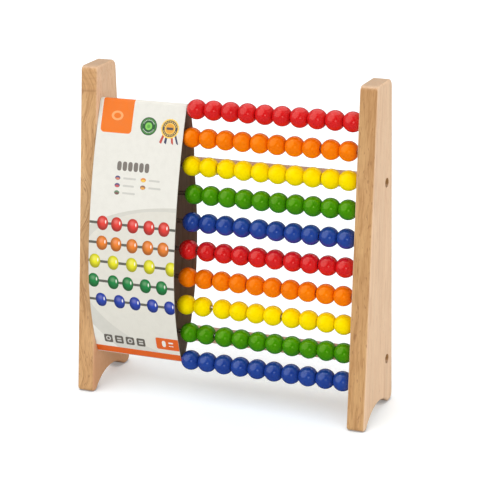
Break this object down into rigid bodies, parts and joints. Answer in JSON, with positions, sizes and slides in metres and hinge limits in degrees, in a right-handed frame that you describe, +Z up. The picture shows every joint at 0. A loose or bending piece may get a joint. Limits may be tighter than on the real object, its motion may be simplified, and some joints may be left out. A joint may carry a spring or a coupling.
{
  "type": "bead abacus",
  "caption": "Wooden bead abacus with two leaning side panels, steel rods of coloured sliding beads, two crossbars and a printed card sleeve round the rods.",
  "frame": {"origin": "middle of the base, on the surface the feet stand on", "axes": "+X to the right as seen from the front and along the rods, +Y towards the back, +Z up"},
  "size_m": [0.288, 0.0966, 0.3022],
  "materials": {
    "beech_panel_left": "satin lacquered beech board",
    "beech_panel_right": "satin lacquered beech board",
    "beech_dowel": "smooth beech dowel",
    "dark_screw_steel": "dark bronzed steel",
    "polished_rod_steel": "polished steel",
    "printed_card": "matt printed card, bare brown-grey inside",
    "red_paint": "satin red paint on wood",
    "orange_paint": "satin orange paint on wood",
    "yellow_paint": "satin yellow paint on wood",
    "green_paint": "satin green paint on wood",
    "blue_paint": "satin blue paint on wood"
  },
  "bodies": {
    "frame": {"side_panel_left": "beech_panel_left", "side_panel_right": "beech_panel_right", "upper_crossbar": "beech_dowel", "lower_crossbar": "beech_dowel", "crossbar_screws": "dark_screw_steel", "rods_upper_five": "polished_rod_steel", "rods_lower_five": "polished_rod_steel", "card_sleeve": "printed_card"},
    "row_01_beads_9_10": {"row_01_red_beads_9_10": "red_paint"},
    "row_01_beads_7_8": {"row_01_red_beads_7_8": "red_paint"},
    "row_01_beads_5_6": {"row_01_red_beads_5_6": "red_paint"},
    "row_01_beads_3_4": {"row_01_red_beads_3_4": "red_paint"},
    "row_01_beads_1_2": {"row_01_red_beads_1_2": "red_paint"},
    "row_02_beads_9_10": {"row_02_orange_beads_9_10": "orange_paint"},
    "row_02_beads_7_8": {"row_02_orange_beads_7_8": "orange_paint"},
    "row_02_beads_5_6": {"row_02_orange_beads_5_6": "orange_paint"},
    "row_02_beads_3_4": {"row_02_orange_beads_3_4": "orange_paint"},
    "row_02_beads_1_2": {"row_02_orange_beads_1_2": "orange_paint"},
    "row_03_beads_9_10": {"row_03_yellow_beads_9_10": "yellow_paint"},
    "row_03_beads_7_8": {"row_03_yellow_beads_7_8": "yellow_paint"},
    "row_03_beads_5_6": {"row_03_yellow_beads_5_6": "yellow_paint"},
    "row_03_beads_3_4": {"row_03_yellow_beads_3_4": "yellow_paint"},
    "row_03_beads_1_2": {"row_03_yellow_beads_1_2": "yellow_paint"},
    "row_04_beads_9_10": {"row_04_green_beads_9_10": "green_paint"},
    "row_04_beads_7_8": {"row_04_green_beads_7_8": "green_paint"},
    "row_04_beads_5_6": {"row_04_green_beads_5_6": "green_paint"},
    "row_04_beads_3_4": {"row_04_green_beads_3_4": "green_paint"},
    "row_04_beads_1_2": {"row_04_green_beads_1_2": "green_paint"},
    "row_05_beads_9_10": {"row_05_blue_beads_9_10": "blue_paint"},
    "row_05_beads_7_8": {"row_05_blue_beads_7_8": "blue_paint"},
    "row_05_beads_5_6": {"row_05_blue_beads_5_6": "blue_paint"},
    "row_05_beads_3_4": {"row_05_blue_beads_3_4": "blue_paint"},
    "row_05_beads_1_2": {"row_05_blue_beads_1_2": "blue_paint"},
    "row_06_beads_9_10": {"row_06_red_beads_9_10": "red_paint"},
    "row_06_beads_7_8": {"row_06_red_beads_7_8": "red_paint"},
    "row_06_beads_5_6": {"row_06_red_beads_5_6": "red_paint"},
    "row_06_beads_3_4": {"row_06_red_beads_3_4": "red_paint"},
    "row_06_beads_1_2": {"row_06_red_beads_1_2": "red_paint"},
    "row_07_beads_9_10": {"row_07_orange_beads_9_10": "orange_paint"},
    "row_07_beads_7_8": {"row_07_orange_beads_7_8": "orange_paint"},
    "row_07_beads_5_6": {"row_07_orange_beads_5_6": "orange_paint"},
    "row_07_beads_3_4": {"row_07_orange_beads_3_4": "orange_paint"},
    "row_07_beads_1_2": {"row_07_orange_beads_1_2": "orange_paint"},
    "row_08_beads_9_10": {"row_08_yellow_beads_9_10": "yellow_paint"},
    "row_08_beads_7_8": {"row_08_yellow_beads_7_8": "yellow_paint"},
    "row_08_beads_5_6": {"row_08_yellow_beads_5_6": "yellow_paint"},
    "row_08_beads_3_4": {"row_08_yellow_beads_3_4": "yellow_paint"},
    "row_08_beads_1_2": {"row_08_yellow_beads_1_2": "yellow_paint"},
    "row_09_beads_9_10": {"row_09_green_beads_9_10": "green_paint"},
    "row_09_beads_7_8": {"row_09_green_beads_7_8": "green_paint"},
    "row_09_beads_5_6": {"row_09_green_beads_5_6": "green_paint"},
    "row_09_beads_3_4": {"row_09_green_beads_3_4": "green_paint"},
    "row_09_beads_1_2": {"row_09_green_beads_1_2": "green_paint"},
    "row_10_beads_9_10": {"row_10_blue_beads_9_10": "blue_paint"},
    "row_10_beads_7_8": {"row_10_blue_beads_7_8": "blue_paint"},
    "row_10_beads_5_6": {"row_10_blue_beads_5_6": "blue_paint"},
    "row_10_beads_3_4": {"row_10_blue_beads_3_4": "blue_paint"},
    "row_10_beads_1_2": {"row_10_blue_beads_1_2": "blue_paint"}
  },
  "joints": [
    {"name": "row_01_beads_9_10_slide", "type": "slide", "parent": "frame", "child": "row_01_beads_9_10", "axis": [1, 0, 0], "range_m": [-0.00006, 0.00015]},
    {"name": "row_01_beads_7_8_slide", "type": "slide", "parent": "row_01_beads_9_10", "child": "row_01_beads_7_8", "axis": [1, 0, 0], "range_m": [-0.00006, 0.00025]},
    {"name": "row_01_beads_5_6_slide", "type": "slide", "parent": "row_01_beads_7_8", "child": "row_01_beads_5_6", "axis": [1, 0, 0], "range_m": [-0.00006, 0.00025]},
    {"name": "row_01_beads_3_4_slide", "type": "slide", "parent": "row_01_beads_5_6", "child": "row_01_beads_3_4", "axis": [1, 0, 0], "range_m": [-0.00006, 0.00025]},
    {"name": "row_01_beads_1_2_slide", "type": "slide", "parent": "row_01_beads_3_4", "child": "row_01_beads_1_2", "axis": [1, 0, 0], "range_m": [-0.00006, 0.00025]},
    {"name": "row_02_beads_9_10_slide", "type": "slide", "parent": "frame", "child": "row_02_beads_9_10", "axis": [1, 0, 0], "range_m": [-0.016, 0.00295]},
    {"name": "row_02_beads_7_8_slide", "type": "slide", "parent": "row_02_beads_9_10", "child": "row_02_beads_7_8", "axis": [1, 0, 0], "range_m": [-0.016, 0.00135]},
    {"name": "row_02_beads_5_6_slide", "type": "slide", "parent": "row_02_beads_7_8", "child": "row_02_beads_5_6", "axis": [1, 0, 0], "range_m": [-0.016, 0.00035]},
    {"name": "row_02_beads_3_4_slide", "type": "slide", "parent": "row_02_beads_5_6", "child": "row_02_beads_3_4", "axis": [1, 0, 0], "range_m": [-0.016, 0.00035]},
    {"name": "row_02_beads_1_2_slide", "type": "slide", "parent": "row_02_beads_3_4", "child": "row_02_beads_1_2", "axis": [1, 0, 0], "range_m": [-0.016, 0.00035]},
    {"name": "row_03_beads_9_10_slide", "type": "slide", "parent": "frame", "child": "row_03_beads_9_10", "axis": [1, 0, 0], "range_m": [-0.016, 0.00195]},
    {"name": "row_03_beads_7_8_slide", "type": "slide", "parent": "row_03_beads_9_10", "child": "row_03_beads_7_8", "axis": [1, 0, 0], "range_m": [-0.016, 0.00075]},
    {"name": "row_03_beads_5_6_slide", "type": "slide", "parent": "row_03_beads_7_8", "child": "row_03_beads_5_6", "axis": [1, 0, 0], "range_m": [-0.016, 0.00025]},
    {"name": "row_03_beads_3_4_slide", "type": "slide", "parent": "row_03_beads_5_6", "child": "row_03_beads_3_4", "axis": [1, 0, 0], "range_m": [-0.016, 0.00025]},
    {"name": "row_03_beads_1_2_slide", "type": "slide", "parent": "row_03_beads_3_4", "child": "row_03_beads_1_2", "axis": [1, 0, 0], "range_m": [-0.016, 0.00115]},
    {"name": "row_04_beads_9_10_slide", "type": "slide", "parent": "frame", "child": "row_04_beads_9_10", "axis": [1, 0, 0], "range_m": [-0.016, 0.00135]},
    {"name": "row_04_beads_7_8_slide", "type": "slide", "parent": "row_04_beads_9_10", "child": "row_04_beads_7_8", "axis": [1, 0, 0], "range_m": [-0.016, 0.00005]},
    {"name": "row_04_beads_5_6_slide", "type": "slide", "parent": "row_04_beads_7_8", "child": "row_04_beads_5_6", "axis": [1, 0, 0], "range_m": [-0.016, 0.00005]},
    {"name": "row_04_beads_3_4_slide", "type": "slide", "parent": "row_04_beads_5_6", "child": "row_04_beads_3_4", "axis": [1, 0, 0], "range_m": [-0.016, 0.00005]},
    {"name": "row_04_beads_1_2_slide", "type": "slide", "parent": "row_04_beads_3_4", "child": "row_04_beads_1_2", "axis": [1, 0, 0], "range_m": [-0.016, 0.00005]},
    {"name": "row_05_beads_9_10_slide", "type": "slide", "parent": "frame", "child": "row_05_beads_9_10", "axis": [1, 0, 0], "range_m": [-0.016, 0.00175]},
    {"name": "row_05_beads_7_8_slide", "type": "slide", "parent": "row_05_beads_9_10", "child": "row_05_beads_7_8", "axis": [1, 0, 0], "range_m": [-0.016, 0.00075]},
    {"name": "row_05_beads_5_6_slide", "type": "slide", "parent": "row_05_beads_7_8", "child": "row_05_beads_5_6", "axis": [1, 0, 0], "range_m": [-0.016, 0.00025]},
    {"name": "row_05_beads_3_4_slide", "type": "slide", "parent": "row_05_beads_5_6", "child": "row_05_beads_3_4", "axis": [1, 0, 0], "range_m": [-0.016, 0.00025]},
    {"name": "row_05_beads_1_2_slide", "type": "slide", "parent": "row_05_beads_3_4", "child": "row_05_beads_1_2", "axis": [1, 0, 0], "range_m": [-0.016, 0.00025]},
    {"name": "row_06_beads_9_10_slide", "type": "slide", "parent": "frame", "child": "row_06_beads_9_10", "axis": [1, 0, 0], "range_m": [-0.016, 0.00175]},
    {"name": "row_06_beads_7_8_slide", "type": "slide", "parent": "row_06_beads_9_10", "child": "row_06_beads_7_8", "axis": [1, 0, 0], "range_m": [-0.016, 0.00065]},
    {"name": "row_06_beads_5_6_slide", "type": "slide", "parent": "row_06_beads_7_8", "child": "row_06_beads_5_6", "axis": [1, 0, 0], "range_m": [-0.016, 0.00065]},
    {"name": "row_06_beads_3_4_slide", "type": "slide", "parent": "row_06_beads_5_6", "child": "row_06_beads_3_4", "axis": [1, 0, 0], "range_m": [-0.016, 0.00065]},
    {"name": "row_06_beads_1_2_slide", "type": "slide", "parent": "row_06_beads_3_4", "child": "row_06_beads_1_2", "axis": [1, 0, 0], "range_m": [-0.016, 0.00065]},
    {"name": "row_07_beads_9_10_slide", "type": "slide", "parent": "frame", "child": "row_07_beads_9_10", "axis": [1, 0, 0], "range_m": [-0.016, 0.00275]},
    {"name": "row_07_beads_7_8_slide", "type": "slide", "parent": "row_07_beads_9_10", "child": "row_07_beads_7_8", "axis": [1, 0, 0], "range_m": [-0.016, 0.00085]},
    {"name": "row_07_beads_5_6_slide", "type": "slide", "parent": "row_07_beads_7_8", "child": "row_07_beads_5_6", "axis": [1, 0, 0], "range_m": [-0.016, 0.00085]},
    {"name": "row_07_beads_3_4_slide", "type": "slide", "parent": "row_07_beads_5_6", "child": "row_07_beads_3_4", "axis": [1, 0, 0], "range_m": [-0.016, 0.00085]},
    {"name": "row_07_beads_1_2_slide", "type": "slide", "parent": "row_07_beads_3_4", "child": "row_07_beads_1_2", "axis": [1, 0, 0], "range_m": [-0.016, 0.00085]},
    {"name": "row_08_beads_9_10_slide", "type": "slide", "parent": "frame", "child": "row_08_beads_9_10", "axis": [1, 0, 0], "range_m": [-0.016, 0.00115]},
    {"name": "row_08_beads_7_8_slide", "type": "slide", "parent": "row_08_beads_9_10", "child": "row_08_beads_7_8", "axis": [1, 0, 0], "range_m": [-0.016, 0.00045]},
    {"name": "row_08_beads_5_6_slide", "type": "slide", "parent": "row_08_beads_7_8", "child": "row_08_beads_5_6", "axis": [1, 0, 0], "range_m": [-0.016, 0.00175]},
    {"name": "row_08_beads_3_4_slide", "type": "slide", "parent": "row_08_beads_5_6", "child": "row_08_beads_3_4", "axis": [1, 0, 0], "range_m": [-0.016, 0.00045]},
    {"name": "row_08_beads_1_2_slide", "type": "slide", "parent": "row_08_beads_3_4", "child": "row_08_beads_1_2", "axis": [1, 0, 0], "range_m": [-0.016, 0.00325]},
    {"name": "row_09_beads_9_10_slide", "type": "slide", "parent": "frame", "child": "row_09_beads_9_10", "axis": [1, 0, 0], "range_m": [-0.016, 0.00015]},
    {"name": "row_09_beads_7_8_slide", "type": "slide", "parent": "row_09_beads_9_10", "child": "row_09_beads_7_8", "axis": [1, 0, 0], "range_m": [-0.016, 0.00025]},
    {"name": "row_09_beads_5_6_slide", "type": "slide", "parent": "row_09_beads_7_8", "child": "row_09_beads_5_6", "axis": [1, 0, 0], "range_m": [-0.016, 0.00025]},
    {"name": "row_09_beads_3_4_slide", "type": "slide", "parent": "row_09_beads_5_6", "child": "row_09_beads_3_4", "axis": [1, 0, 0], "range_m": [-0.016, 0.00025]},
    {"name": "row_09_beads_1_2_slide", "type": "slide", "parent": "row_09_beads_3_4", "child": "row_09_beads_1_2", "axis": [1, 0, 0], "range_m": [-0.016, 0.00205]},
    {"name": "row_10_beads_9_10_slide", "type": "slide", "parent": "frame", "child": "row_10_beads_9_10", "axis": [1, 0, 0], "range_m": [-0.00006, 0.00025]},
    {"name": "row_10_beads_7_8_slide", "type": "slide", "parent": "row_10_beads_9_10", "child": "row_10_beads_7_8", "axis": [1, 0, 0], "range_m": [-0.00006, 0.00025]},
    {"name": "row_10_beads_5_6_slide", "type": "slide", "parent": "row_10_beads_7_8", "child": "row_10_beads_5_6", "axis": [1, 0, 0], "range_m": [-0.00006, 0.00025]},
    {"name": "row_10_beads_3_4_slide", "type": "slide", "parent": "row_10_beads_5_6", "child": "row_10_beads_3_4", "axis": [1, 0, 0], "range_m": [-0.00006, 0.00025]},
    {"name": "row_10_beads_1_2_slide", "type": "slide", "parent": "row_10_beads_3_4", "child": "row_10_beads_1_2", "axis": [1, 0, 0], "range_m": [-0.00006, 0.00025]}
  ]
}
